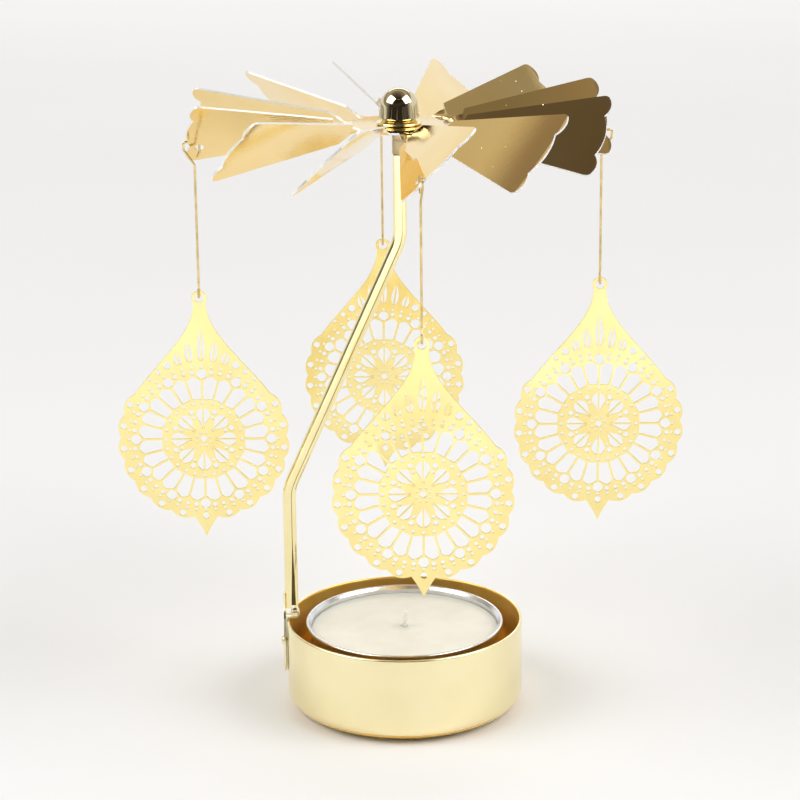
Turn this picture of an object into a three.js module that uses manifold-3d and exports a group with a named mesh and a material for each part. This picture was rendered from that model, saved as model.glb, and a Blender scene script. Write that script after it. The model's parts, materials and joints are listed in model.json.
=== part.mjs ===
// Rotating tealight holder: a pressed cup on three pips, a bent channel stem that clips over the
// cup's rim, a twelve-bladed fan that turns on a needle in the warm air, and four openwork drops
// on wire hangers. Millimetres, +Z up, origin on the cup's axis at table height.
import * as THREE from 'three';
import { mergeVertices } from 'three/addons/utils/BufferGeometryUtils.js';
import Module from 'manifold-3d';

const wasm = await Module();
wasm.setup();

// Clearances
const seatGap = 0.1; // between pieces that rest on each other
const fitGap = 0.15; // round a pin in its hole, and between the clip and the cup wall
const wallGap = 0.3; // under the rivet's flat inner head, against the cup's round wall
const turnGap = 0.3; // between the turning hub and what stands still

// Tealight
const tealightRadius = 19.4; // over the flared rim
const tealightHeight = 15.6;
const tealightFlare = 0.7;
const tealightWall = 0.35;
const waxBelowRim = 1.4;
const waxDish = 0.3;
const wickRadius = 0.6;
const wickRise = 3;
const sustainerRadius = 6.5;
const sustainerThickness = 0.4;
const sustainerCollarWall = 0.4;
const sustainerCollarHeight = 3;

// Cup
const cupRoom = 3; // finger room round the tealight
const cupWall = 0.6;
const cupHeight = 17.45; // rim above the table
const cupCornerRadius = 3;
const footHeight = 0.6;
const footRadius = 1.5; // flat of each pip
const footFlare = 0.7;
const footInset = 5.2; // from the cup's side to a pip's centre
const footCount = 3;
const footStart = degrees(258);

// Stem, its clip and its rivet
const stemWidth = 2.5;
const stemDepth = 2.2;
const stemWall = 0.45;
const stemCornerRadius = 0.5;
const stemSeam = 0.3;
const stemSeamOffset = 0.3; // the two flanges aren't equally wide
const stemInset = 1; // from the cup's side to the middle of the leg
const stemLegRise = 26.75; // from the cup's rim to the lower bend
const stemNeckLength = 16; // from the upper bend to the top
const stemBendRadius = 3.5;
const clipWidth = 5;
const clipNeckWidth = 2; // above the rim
const clipThickness = 0.45;
const clipLap = 3; // how far the clip reaches up the leg
const tongueReach = 11; // down the outside of the cup
const curlReach = 1.6; // in over the rim, from the cup's side to the middle of the curl
const curlRadius = 0.7; // at the middle of the strip
const curlTurn = degrees(250);
const rivetDrop = 4.75; // from the cup's rim
const rivetRadius = 0.5;
const rivetHeadRadius = 1;
const rivetHeadHeight = 0.55;

// Pivot
const ferruleRadius = 1.35;
const ferruleLength = 3.9;
const needleRadius = 0.5;
const needleGrip = 6; // held in the stem
const needlePoint = 1.6;

// Fan
const fanHeight = 115; // middle of the sheet above the table
const sheetThickness = 0.4;
const bladeCount = 12;
const bladeStart = degrees(10.75);
const bladeTwist = degrees(43);
const hubDiscRadius = 9.3;
const neckLength = 3;
const neckHalfWidth = 1.7;
const neckThinning = 0.02; // the twisted neck draws thinner than the sheet
const neckLap = 0.6;
const bladeHalfAngle = degrees(13.3);
const bladeCornerX = 38;
const bladeCornerRadius = 0.7;
const valleyHalfWidth = 4.4; // half the middle scallop's chord
const valleyX = 38.5;
const middleScallopRise = 1.05;
const sideScallopRise = 0.8;

// Hub
const ballRadius = 3.8;
const ballRise = 1.8; // of the ball's middle above the flat that it sits on
const shankRadius = 1.8;
const shankLip = 0.7;
const shankLipHeight = 0.4;
const collarRadius = 4.3;
const collarThickness = 0.5;
const collarDish = 0.5;
const hubWasherRadius = 3.2;
const hubWasherThickness = 0.5;

// Hangers
const hangerCount = 4;
const holeX = 36.9; // along the blade
const holeRadius = 0.9;
const wireRadius = 0.275;
const wireBendRadius = 0.5;
const crossingRise = 0.95; // of the wire over the blade's margin, above the hole's middle
const loopLength = 2.95; // from the hole out past the blade's edge
const loopDrop = 3.4;
const loopTail = 2; // of the free end below the hole
const shankOffset = 1; // of the straight wire, out from the hole
const hangerDrop = 28.8; // from the hole to the drop's ring
const hookHalfWidth = 0.9;
const hookRise = 2;
const hookSeat = 0.3; // of the wire above the middle of the ring

// Openwork drops
const dropRadius = 15.7; // at the scallops' valleys
const dropCentre = 27.7; // below the ring
const dropThickness = 0.3;
const ringRadius = 1.45;
const ringHoleRadius = 0.85;
const ogeeAngle = degrees(35); // where the round body meets the drawn-up top
const ogeeNeckPull = 7; // how far the neck runs straight down before it opens out
const scallopCount = 15;
const scallopRise = 0.85;
const finialLength = 4.1;
const eyeletRadius = 0.6;
const rimBand = 1.15; // solid band inside the eyelets
const lancetCount = 12;
const lancetInner = 7.9;
const lancetBar = 0.85; // between two lancets
const lancetArch = 0.75; // share of a lancet's width left half-way up its arch
const petalCount = 8;
const petalInner = 1.9;
const petalOuter = 6.4;
const petalHalfWidth = 1.15;
const leafLengths = [7, 4.8, 2.9]; // from the upright leaf to the outer ones
const leafSpacing = degrees(8);
const leafHalfWidth = 0.7;

// Facets
const roundSegments = 48;
const tealightSegments = 34;
const smallSegments = 20;
const pipSegments = 12;
const wireSides = 6;
const eyeletSides = 5;

// Places worked out from the sizes
const cupRadius = tealightRadius + cupRoom + cupWall;
const cupFloor = footHeight + cupWall;
const tealightBase = cupFloor + seatGap;
const waxTop = tealightHeight - waxBelowRim;
const legX = stemInset - cupRadius;
const tongueX = -cupRadius - fitGap - clipThickness;
const hookLevel = cupHeight + seatGap + clipThickness / 2; // middle of the strip over the rim
const legFoot = hookLevel + 2 * curlRadius + clipThickness / 2 + turnGap;
const lowerBend = cupHeight + stemLegRise;
const hubWasherTop = fanHeight - sheetThickness / 2 - seatGap;
const shankBottom = hubWasherTop - hubWasherThickness - seatGap - shankLipHeight;
const ferruleTop = shankBottom - turnGap;
const stemTop = ferruleTop - ferruleLength - seatGap;
const collarBottom = fanHeight + sheetThickness / 2 + seatGap;
const collarTop = collarBottom + collarDish + collarThickness;
const ballSeat = collarTop + seatGap;
const ballCentre = ballSeat + ballRise;
const socketRadius = needleRadius + turnGap;
const needleTip = ballCentre;
const hubHoleRadius = shankRadius + fitGap;
const holeY = -valleyHalfWidth * Math.cos(bladeTwist);
const holeZ = fanHeight - valleyHalfWidth * Math.sin(bladeTwist);

const brass = finish(0xe3c87c, 0.22, 1);
const fanBrass = finish(0xdcb95a, 0.2, 1);
const dropBrass = finish(0xf0cf6a, 0.25, 1);
const steel = finish(0xb9b5a8, 0.35, 1);
const aluminium = finish(0xd6d7d8, 0.3, 1);
const wax = finish(0xf3efe4, 0.5, 0);
const cotton = finish(0xe9dfc3, 0.9, 0);

function finish(color, roughness, metalness) {
  return new THREE.MeshStandardMaterial({ color, roughness, metalness });
}

function degrees(value) {
  return value * Math.PI / 180;
}

// A geometry with its doubled points merged, no collapsed triangles, and its faces pointing out
function closedBody(geometry) {
  const bare = new THREE.BufferGeometry();
  bare.setAttribute('position', geometry.getAttribute('position'));
  bare.setIndex(geometry.getIndex());
  const merged = mergeVertices(bare);
  const corners = merged.getIndex().array;
  const position = merged.getAttribute('position');
  const [a, b, c] = [new THREE.Vector3(), new THREE.Vector3(), new THREE.Vector3()];
  const kept = [];
  let volume = 0;
  for (let i = 0; i < corners.length; i += 3) {
    const [p, q, r] = [corners[i], corners[i + 1], corners[i + 2]];
    if (p === q || q === r || r === p) continue;
    kept.push([p, q, r]);
    a.fromBufferAttribute(position, p);
    b.fromBufferAttribute(position, q);
    c.fromBufferAttribute(position, r);
    volume += a.dot(b.cross(c));
  }
  const facingOut = volume > 0 ? kept : kept.map(([p, q, r]) => [p, r, q]);
  merged.setIndex(facingOut.flat());
  merged.computeVertexNormals();
  return merged;
}

function toSolid(geometry) {
  const body = closedBody(geometry);
  const vertProperties = new Float32Array(body.getAttribute('position').array);
  const triVerts = new Uint32Array(body.getIndex().array);
  return new wasm.Manifold(new wasm.Mesh({ numProp: 3, vertProperties, triVerts }));
}

function fromSolid(solid) {
  const { vertProperties, triVerts } = solid.getMesh();
  const geometry = new THREE.BufferGeometry();
  geometry.setAttribute('position', new THREE.BufferAttribute(vertProperties, 3));
  geometry.setIndex(new THREE.BufferAttribute(triVerts, 1));
  geometry.computeVertexNormals();
  return geometry;
}

function join(first, ...others) {
  return fromSolid(others.reduce((whole, next) => whole.add(toSolid(next)), toSolid(first)));
}

function cut(first, ...tools) {
  return fromSolid(tools.reduce((whole, tool) => whole.subtract(toSolid(tool)), toSolid(first)));
}

// Points of an arc about a centre, for profiles
function arc(centreX, centreY, radius, from, to, steps) {
  return Array.from({ length: steps + 1 }, (_, i) => {
    const angle = from + (to - from) * i / steps;
    return [centreX + radius * Math.cos(angle), centreY + radius * Math.sin(angle)];
  });
}

// A profile of [radius, height] pairs turned round +Z
function revolve(profile, segments) {
  const points = profile.map(([radius, height]) => new THREE.Vector2(radius, height));
  return closedBody(new THREE.LatheGeometry(points, segments).rotateX(Math.PI / 2));
}

// A closed ring with a rectangular section
function washer(innerRadius, outerRadius, bottom, top, segments) {
  const section = [[innerRadius, bottom], [outerRadius, bottom], [outerRadius, top], [innerRadius, top]];
  return revolve([...section, section[0]], segments);
}

function rod(radius, bottom, top, segments) {
  return revolve([[0, bottom], [radius, bottom], [radius, top], [0, top]], segments);
}

// A run of stations that an extrusion follows one by one
class StationPath extends THREE.Curve {
  constructor(stations) {
    super();
    this.stations = stations;
  }

  getPointAt(u) {
    return this.stations[Math.round(u * (this.stations.length - 1))].clone();
  }

  getTangentAt(u) {
    const i = Math.round(u * (this.stations.length - 1));
    const before = this.stations[Math.max(i - 1, 0)];
    const after = this.stations[Math.min(i + 1, this.stations.length - 1)];
    return after.clone().sub(before).normalize();
  }
}

// Corner points with each inner corner rounded
function roundedStations(corners, radius, steps) {
  const stations = [corners[0]];
  for (let i = 1; i < corners.length - 1; i += 1) {
    const back = corners[i - 1].clone().sub(corners[i]).normalize();
    const ahead = corners[i + 1].clone().sub(corners[i]).normalize();
    const halfTurn = back.angleTo(ahead) / 2;
    const start = corners[i].clone().addScaledVector(back, radius / Math.tan(halfTurn));
    const end = corners[i].clone().addScaledVector(ahead, radius / Math.tan(halfTurn));
    const middle = back.add(ahead).normalize();
    const centre = corners[i].clone().addScaledVector(middle, radius / Math.sin(halfTurn));
    const [from, to] = [start.sub(centre), end.sub(centre)];
    const sweep = from.angleTo(to);
    for (let step = 0; step <= steps; step += 1) {
      const share = step / steps;
      const onArc = from.clone().multiplyScalar(Math.sin((1 - share) * sweep) / Math.sin(sweep));
      onArc.addScaledVector(to, Math.sin(share * sweep) / Math.sin(sweep));
      stations.push(onArc.add(centre));
    }
  }
  stations.push(corners[corners.length - 1]);
  return stations;
}

function sweep(shape, stations) {
  const extrudePath = new StationPath(stations);
  const settings = { steps: stations.length - 1, extrudePath, curveSegments: 1 };
  return closedBody(new THREE.ExtrudeGeometry(shape, settings));
}

function polygon(points) {
  return new THREE.Shape(points.map(([x, y]) => new THREE.Vector2(x, y)));
}

function roundShape(radius, sides) {
  return polygon(arc(0, 0, radius, 0, 2 * Math.PI, sides).slice(0, sides));
}

function addPiece(parent, name, geometry, material) {
  const mesh = new THREE.Mesh(geometry, material);
  mesh.name = name;
  parent.add(mesh);
}

function makeTealight(parent) {
  const bodyRadius = tealightRadius - tealightFlare;
  const inside = bodyRadius - tealightWall;
  const cupProfile = [
    [0, 0], [bodyRadius - tealightWall, 0], [bodyRadius, tealightWall],
    [bodyRadius, tealightHeight - tealightWall], [tealightRadius, tealightHeight - tealightWall],
    [tealightRadius, tealightHeight], [inside, tealightHeight], [inside, tealightWall], [0, tealightWall],
  ];
  const waxBottom = tealightWall + seatGap;
  const waxRadius = inside - seatGap;
  const discTop = waxBottom + sustainerThickness;
  const boreRadius = wickRadius + fitGap;
  const collarOuter = boreRadius + sustainerCollarWall;
  const collarHeight = discTop + sustainerCollarHeight;
  const waxProfile = [
    [boreRadius, collarHeight + seatGap], [collarOuter + seatGap, collarHeight + seatGap],
    [collarOuter + seatGap, discTop + seatGap], [sustainerRadius + seatGap, discTop + seatGap],
    [sustainerRadius + seatGap, waxBottom], [waxRadius, waxBottom], [waxRadius, waxTop],
    [waxRadius - waxDish, waxTop - waxDish], [boreRadius + waxDish, waxTop - waxDish],
    [boreRadius, waxTop - waxDish / 2], [boreRadius, collarHeight + seatGap],
  ];
  const sustainerProfile = [
    [boreRadius, waxBottom], [sustainerRadius, waxBottom], [sustainerRadius, discTop],
    [collarOuter, discTop], [collarOuter, collarHeight], [boreRadius, collarHeight],
    [boreRadius, waxBottom],
  ];
  addPiece(parent, 'tealight_cup', revolve(cupProfile, tealightSegments), aluminium);
  addPiece(parent, 'tealight_wax', revolve(waxProfile, tealightSegments), wax);
  addPiece(parent, 'wick_sustainer', revolve(sustainerProfile, smallSegments), steel);
  addPiece(parent, 'tealight_wick', rod(wickRadius, waxBottom, waxTop + wickRise, wireSides * 2), cotton);
}

function makeCup() {
  const corner = cupRadius - cupCornerRadius;
  const inside = cupRadius - cupWall;
  const insideCorner = cupCornerRadius - cupWall;
  const bend = cupCornerRadius + footHeight;
  const shell = revolve([
    [0, footHeight], ...arc(corner, bend, cupCornerRadius, -Math.PI / 2, 0, 5),
    [cupRadius, cupHeight], [inside, cupHeight],
    ...arc(corner, bend, insideCorner, 0, -Math.PI / 2, 4), [0, cupFloor],
  ], roundSegments);
  const rootRadius = footRadius + footFlare;
  const hollowRadius = footRadius - cupWall / 2;
  const bumps = [];
  const hollows = [];
  for (let i = 0; i < footCount; i += 1) {
    const angle = footStart + 2 * Math.PI * i / footCount;
    const x = (cupRadius - footInset) * Math.cos(angle);
    const y = (cupRadius - footInset) * Math.sin(angle);
    const bump = revolve([
      [0, 0], [footRadius, 0], [rootRadius, footHeight], [rootRadius, cupFloor - cupWall / 2],
      [0, cupFloor - cupWall / 2],
    ], pipSegments);
    const hollow = revolve([
      [0, cupWall], [hollowRadius, cupWall], [hollowRadius + footFlare, cupFloor + cupWall],
      [0, cupFloor + cupWall],
    ], pipSegments);
    bumps.push(bump.translate(x, y, 0));
    hollows.push(hollow.translate(x, y, 0));
  }
  return cut(join(shell, ...bumps), ...hollows, rivetBore());
}

// A bore along X through the tongue and the cup wall, at the rivet
function rivetBore() {
  const bore = rod(rivetRadius + fitGap, -cupRoom, cupRoom, smallSegments);
  return bore.rotateY(Math.PI / 2).translate(-cupRadius, 0, cupHeight - rivetDrop);
}

// Plate riveted to the cup's side, narrowed at the rim to the strip that laps the leg
function makeTongue() {
  const half = clipWidth / 2;
  const neck = clipNeckWidth / 2;
  const top = legFoot + clipLap;
  const outline = polygon([
    ...arc(0, cupHeight - tongueReach + half, half, Math.PI, 2 * Math.PI, 10),
    [half, cupHeight - half], [neck, cupHeight], [neck, top],
    [-neck, top], [-neck, cupHeight], [-half, cupHeight - half],
  ]);
  const plate = new THREE.ExtrudeGeometry(outline, { depth: clipThickness, bevelEnabled: false });
  return plate.rotateX(Math.PI / 2).rotateZ(Math.PI / 2).translate(tongueX, 0, 0);
}

// Tab bent in from the tongue over the rim, with its end rolled up
function makeHook() {
  const [a, b] = [clipThickness / 2, clipNeckWidth / 2];
  const section = polygon([[-a, -b], [a, -b], [a, b], [-a, b]]);
  const down = -Math.PI / 2;
  const curl = arc(curlReach - cupRadius, hookLevel + curlRadius, curlRadius, down, down + curlTurn, 8);
  const path = [[tongueX + clipThickness / 2, hookLevel], ...curl];
  return sweep(section, path.map(([x, z]) => new THREE.Vector3(x, 0, z)));
}

function makeStem() {
  const [a, b] = [stemDepth / 2, stemWidth / 2];
  const [innerA, innerB] = [a - stemWall, b - stemWall];
  const [seamLow, seamHigh] = [stemSeamOffset - stemSeam / 2, stemSeamOffset + stemSeam / 2];
  const r = stemCornerRadius;
  const quarter = Math.PI / 2;
  const section = polygon([
    [a, seamHigh],
    ...arc(a - r, b - r, r, 0, quarter, 2), ...arc(r - a, b - r, r, quarter, 2 * quarter, 2),
    ...arc(r - a, r - b, r, -2 * quarter, -quarter, 2), ...arc(a - r, r - b, r, -quarter, 0, 2),
    [a, seamLow], [innerA, seamLow], [innerA, -innerB], [-innerA, -innerB], [-innerA, innerB],
    [innerA, innerB], [innerA, seamHigh],
  ]);
  const corners = [
    new THREE.Vector3(legX, 0, legFoot), new THREE.Vector3(legX, 0, lowerBend),
    new THREE.Vector3(0, 0, stemTop - stemNeckLength), new THREE.Vector3(0, 0, stemTop),
  ];
  const channel = sweep(section, roundedStations(corners, stemBendRadius, 4));
  return cut(join(channel, makeTongue(), makeHook()), rivetBore());
}

function makeRivet() {
  const inner = cupWall + wallGap;
  const outer = tongueX - seatGap + cupRadius;
  const flatRadius = rivetHeadRadius / 2;
  const profile = [
    [0, outer - rivetHeadHeight], [flatRadius, outer - rivetHeadHeight], [rivetHeadRadius, outer],
    [rivetRadius, outer], [rivetRadius, inner], [rivetHeadRadius, inner],
    [flatRadius, inner + rivetHeadHeight], [0, inner + rivetHeadHeight],
  ];
  const rivet = revolve(profile, smallSegments / 2);
  return rivet.rotateY(Math.PI / 2).translate(-cupRadius, 0, cupHeight - rivetDrop);
}

function makeNeedle() {
  return revolve([
    [0, stemTop - needleGrip], [needleRadius, stemTop - needleGrip],
    [needleRadius, needleTip - needlePoint], [0, needleTip],
  ], smallSegments / 2);
}

function makeBall() {
  const lipRadius = shankRadius + shankLip;
  const lipTop = shankBottom + shankLipHeight;
  const seatAngle = Math.asin((ballSeat - ballCentre) / ballRadius);
  const dome = arc(0, ballCentre, ballRadius, seatAngle, Math.PI / 2, 10).slice(0, -1);
  return revolve([
    [0, needleTip + seatGap], [socketRadius, needleTip + seatGap - needlePoint],
    [socketRadius, shankBottom], [lipRadius, shankBottom], [lipRadius, lipTop],
    [shankRadius, lipTop], [shankRadius, ballSeat], ...dome, [0, ballCentre + ballRadius],
  ], smallSegments);
}

// Dished washer: flat on the fan at its edge, raised under the ball
function makeCollar() {
  const inner = hubHoleRadius;
  const lift = collarDish;
  const shoulder = inner + shankLip;
  const section = [
    [inner, collarBottom + lift], [shoulder, collarBottom + lift], [collarRadius - lift, collarBottom],
    [collarRadius, collarBottom], [collarRadius, collarBottom + collarThickness],
    [collarRadius - lift, collarBottom + collarThickness], [shoulder, collarTop], [inner, collarTop],
  ];
  return revolve([...section, section[0]], smallSegments);
}

// Flat blade in its own plane: +X out along the blade, +Y the edge that is turned up
function bladeOutline() {
  const rootX = hubDiscRadius + neckLength;
  const root = rootX * Math.tan(bladeHalfAngle);
  const corner = bladeCornerX * Math.tan(bladeHalfAngle);
  const cornerBackX = bladeCornerX - bladeCornerRadius;
  const cornerBack = cornerBackX * Math.tan(bladeHalfAngle);
  const cornerTip = corner - bladeCornerRadius / 2;
  const sideMiddle = (cornerTip + valleyHalfWidth) / 2;
  const sideTipX = valleyX + 2 * sideScallopRise;
  const middleTipX = valleyX + 2 * middleScallopRise;
  const shape = new THREE.Shape();
  shape.moveTo(rootX, -root);
  shape.lineTo(cornerBackX, -cornerBack);
  shape.quadraticCurveTo(bladeCornerX, -corner, valleyX, -cornerTip);
  shape.quadraticCurveTo(sideTipX, -sideMiddle, valleyX, -valleyHalfWidth);
  shape.quadraticCurveTo(middleTipX, 0, valleyX, valleyHalfWidth);
  shape.quadraticCurveTo(sideTipX, sideMiddle, valleyX, cornerTip);
  shape.quadraticCurveTo(bladeCornerX, corner, cornerBackX, cornerBack);
  shape.lineTo(rootX, root);
  return shape;
}

function makeBlade(hasHole) {
  const shape = bladeOutline();
  if (hasHole) {
    const rim = arc(holeX, -valleyHalfWidth, holeRadius, 0, 2 * Math.PI, 12).slice(0, 12);
    shape.holes.push(new THREE.Path(rim.map(([x, y]) => new THREE.Vector2(x, y))));
  }
  const settings = { depth: sheetThickness, bevelEnabled: false, curveSegments: 4 };
  const plate = new THREE.ExtrudeGeometry(shape, settings).translate(0, 0, -sheetThickness / 2);
  return plate.rotateX(bladeTwist);
}

// Strip from the flat hub to the turned blade, twisted evenly along its length
function makeNeck() {
  const length = neckLength + 2 * neckLap;
  const middle = hubDiscRadius + neckLength / 2;
  const strip = new THREE.BoxGeometry(length, 2 * neckHalfWidth, sheetThickness - neckThinning, 4, 1, 1);
  strip.translate(middle, 0, 0);
  const position = strip.getAttribute('position');
  const axis = new THREE.Vector3(1, 0, 0);
  const point = new THREE.Vector3();
  for (let i = 0; i < position.count; i += 1) {
    point.fromBufferAttribute(position, i);
    const share = THREE.MathUtils.clamp((point.x - hubDiscRadius) / neckLength, 0, 1);
    point.applyAxisAngle(axis, bladeTwist * share);
    position.setXYZ(i, point.x, point.y, point.z);
  }
  return strip;
}

function bladeAngle(index) {
  return bladeStart + 2 * Math.PI * index / bladeCount;
}

function makeFan() {
  const top = sheetThickness / 2;
  const disc = washer(hubHoleRadius, hubDiscRadius, -top, top, bladeCount * 4);
  const pieces = [];
  for (let i = 0; i < bladeCount; i += 1) {
    const hasHole = i % (bladeCount / hangerCount) === 0;
    pieces.push(makeNeck().rotateZ(bladeAngle(i)), makeBlade(hasHole).rotateZ(bladeAngle(i)));
  }
  return join(disc, ...pieces);
}

// Wire bent round the blade's margin at the top and into a hook through the drop's ring below;
// +X is out along the blade, and the hook lies across the drop, which is turned by facing
function makeHanger(facing) {
  const inLoop = (x, z) => new THREE.Vector3(x, 0, z);
  const inHook = (across, z) => {
    const x = shankOffset - across * Math.sin(facing);
    return new THREE.Vector3(x, across * Math.cos(facing), z - hangerDrop);
  };
  const corners = [
    inLoop(shankOffset / 2, -loopTail), inLoop(0, -crossingRise), inLoop(0, crossingRise),
    inLoop(loopLength, crossingRise), inLoop(loopLength, -wireBendRadius), inLoop(shankOffset, -loopDrop),
    inHook(0, hookRise + hookHalfWidth), inHook(hookHalfWidth, hookRise), inHook(hookHalfWidth, hookSeat),
    inHook(-hookHalfWidth, hookSeat), inHook(-hookHalfWidth, hookRise),
  ];
  return sweep(roundShape(wireRadius, wireSides), roundedStations(corners, wireBendRadius, 2));
}

function addHole(shape, points) {
  shape.holes.push(new THREE.Path(points.map(([x, y]) => new THREE.Vector2(x, y))));
}

function addEyelet(shape, x, y) {
  addHole(shape, arc(x, y, eyeletRadius, 0, 2 * Math.PI, eyeletSides).slice(0, eyeletSides));
}

// Points on rays from the drop's centre, as [distance, angle] pairs
function polar(pairs) {
  return pairs.map(([distance, angle]) => {
    return [distance * Math.cos(angle), distance * Math.sin(angle) - dropCentre];
  });
}

// Drop seen from the front, with its ring at the origin: an onion outline with a scalloped edge
function dropOutline() {
  const neck = Math.sqrt(ringRadius ** 2 - ringHoleRadius ** 2);
  const [endX, endY] = polar([[dropRadius, ogeeAngle]])[0];
  const pullX = endX - dropRadius / 2 * Math.sin(ogeeAngle);
  const pullY = endY + dropRadius / 2 * Math.cos(ogeeAngle);
  const shape = new THREE.Shape();
  shape.moveTo(neck, -ringHoleRadius);
  shape.bezierCurveTo(neck, -ogeeNeckPull, pullX, pullY, endX, endY);
  const step = (Math.PI + 2 * ogeeAngle) / scallopCount;
  for (let i = 0; i < scallopCount; i += 1) {
    const from = ogeeAngle - i * step;
    const isFinial = i === (scallopCount - 1) / 2;
    const rise = isFinial ? finialLength : 2 * scallopRise;
    const tip = dropRadius * Math.cos(step / 2) + rise;
    const [tipX, tipY] = polar([[tip, from - step / 2]])[0];
    const [nextX, nextY] = polar([[dropRadius, from - step]])[0];
    if (isFinial) {
      shape.lineTo(tipX, tipY);
      shape.lineTo(nextX, nextY);
    } else {
      shape.quadraticCurveTo(tipX, tipY, nextX, nextY);
    }
  }
  shape.bezierCurveTo(-pullX, pullY, -neck, -ogeeNeckPull, -neck, -ringHoleRadius);
  const ringStart = Math.atan2(-ringHoleRadius, -neck);
  const ringEnd = Math.atan2(-ringHoleRadius, neck);
  for (const [x, y] of arc(0, 0, ringRadius, ringStart + 2 * Math.PI, ringEnd, 9).slice(1, -1)) {
    shape.lineTo(x, y);
  }
  return shape;
}

// Sheet drop with a rose of petals and lancets, eyelets in the scallops and leaves above
function makeDrop() {
  const shape = dropOutline();
  addHole(shape, arc(0, 0, ringHoleRadius, 0, 2 * Math.PI, 10).slice(0, 10));
  const step = (Math.PI + 2 * ogeeAngle) / scallopCount;
  for (let i = 0; i < scallopCount; i += 1) {
    const [x, y] = polar([[dropRadius - eyeletRadius / 2, ogeeAngle - (i + 0.5) * step]])[0];
    addEyelet(shape, x, y);
  }
  const lancetOuter = dropRadius - 1.5 * eyeletRadius - rimBand;
  for (let i = 0; i < lancetCount; i += 1) {
    const angle = Math.PI / 2 + 2 * Math.PI * i / lancetCount;
    const half = Math.PI / lancetCount;
    const innerHalf = half - lancetBar / 2 / lancetInner;
    const shoulder = (lancetInner + 2 * lancetOuter) / 3;
    const shoulderHalf = half - lancetBar / 2 / shoulder;
    const arch = (shoulder + lancetOuter) / 2;
    const archHalf = lancetArch * shoulderHalf;
    addHole(shape, polar([
      [lancetInner, angle - innerHalf], [shoulder, angle - shoulderHalf], [arch, angle - archHalf],
      [lancetOuter, angle], [arch, angle + archHalf], [shoulder, angle + shoulderHalf],
      [lancetInner, angle + innerHalf],
    ]));
  }
  for (let i = 0; i < petalCount; i += 1) {
    const angle = 2 * Math.PI * i / petalCount;
    const middle = (petalInner + 2 * petalOuter) / 3;
    const spread = petalHalfWidth / middle;
    addHole(shape, polar([
      [petalInner, angle], [middle, angle - spread], [petalOuter, angle - spread / 2],
      [petalOuter, angle + spread / 2], [middle, angle + spread],
    ]));
  }
  addEyelet(shape, 0, -dropCentre);
  addLeaves(shape);
  const settings = { depth: dropThickness, bevelEnabled: false, curveSegments: 4 };
  const sheet = new THREE.ExtrudeGeometry(shape, settings).translate(0, 0, -dropThickness / 2);
  return closedBody(sheet.rotateX(Math.PI / 2));
}

// Pointed leaves that stand on the round body, the tallest one under the ring
function addLeaves(shape) {
  const foot = dropRadius - eyeletRadius;
  leafLengths.forEach((length, i) => {
    const spread = leafHalfWidth / dropRadius;
    const belly = foot + length / 3;
    const shoulder = foot + 2 * length / 3;
    const turns = i === 0 ? [0] : [-i * leafSpacing, i * leafSpacing];
    for (const turn of turns) {
      const ray = Math.PI / 2 + turn;
      addHole(shape, polar([
        [foot, ray], [belly, ray - spread], [shoulder, ray - spread / 2],
        [foot + length, ray], [shoulder, ray + spread / 2], [belly, ray + spread],
      ]));
    }
  });
}

const holder = new THREE.Group();

const base = new THREE.Group();
holder.add(base);
addPiece(base, 'base_cup', makeCup(), brass);
addPiece(base, 'stem', makeStem(), brass);
addPiece(base, 'stem_rivet', makeRivet(), brass);
const ferruleBottom = ferruleTop - ferruleLength;
const ferruleBore = needleRadius + fitGap;
const ferrule = washer(ferruleBore, ferruleRadius, ferruleBottom, ferruleTop, smallSegments);
addPiece(base, 'ferrule', ferrule, steel);
addPiece(base, 'pivot_needle', makeNeedle(), steel);

const tealight = new THREE.Group();
tealight.position.z = tealightBase;
holder.add(tealight);
makeTealight(tealight);

const hub = new THREE.Group();
holder.add(hub);
addPiece(hub, 'fan_wheel', makeFan().translate(0, 0, fanHeight), fanBrass);
addPiece(hub, 'hub_ball', makeBall(), brass);
addPiece(hub, 'hub_collar', makeCollar(), brass);
const hubWasherBottom = hubWasherTop - hubWasherThickness;
const hubWasher = washer(hubHoleRadius, hubWasherRadius, hubWasherBottom, hubWasherTop, smallSegments);
addPiece(hub, 'hub_washer', hubWasher, steel);

for (let i = 0; i < hangerCount; i += 1) {
  const angle = bladeAngle(i * bladeCount / hangerCount);
  const facing = -(angle % Math.PI);
  const hanger = new THREE.Group();
  hanger.rotation.z = angle;
  hub.add(hanger);
  addPiece(hanger, `hanger_wire_${i + 1}`, makeHanger(facing).translate(holeX, holeY, holeZ), brass);
  const drop = new THREE.Group();
  drop.position.set(holeX + shankOffset, holeY, holeZ - hangerDrop);
  drop.rotation.z = facing;
  hanger.add(drop);
  addPiece(drop, `pendant_${i + 1}`, makeDrop(), dropBrass);
}

export default holder;
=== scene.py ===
import json
import math

import bmesh
import bpy
from mathutils import Matrix, Vector, noise


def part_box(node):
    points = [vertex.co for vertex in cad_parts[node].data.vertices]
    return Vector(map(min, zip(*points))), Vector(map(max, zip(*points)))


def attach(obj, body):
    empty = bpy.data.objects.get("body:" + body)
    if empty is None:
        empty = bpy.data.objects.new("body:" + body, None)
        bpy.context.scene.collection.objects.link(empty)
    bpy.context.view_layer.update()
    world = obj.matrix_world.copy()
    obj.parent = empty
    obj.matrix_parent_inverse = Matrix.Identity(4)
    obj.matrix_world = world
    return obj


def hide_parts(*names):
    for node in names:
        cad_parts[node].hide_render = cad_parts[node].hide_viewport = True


mm = 0.001

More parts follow.
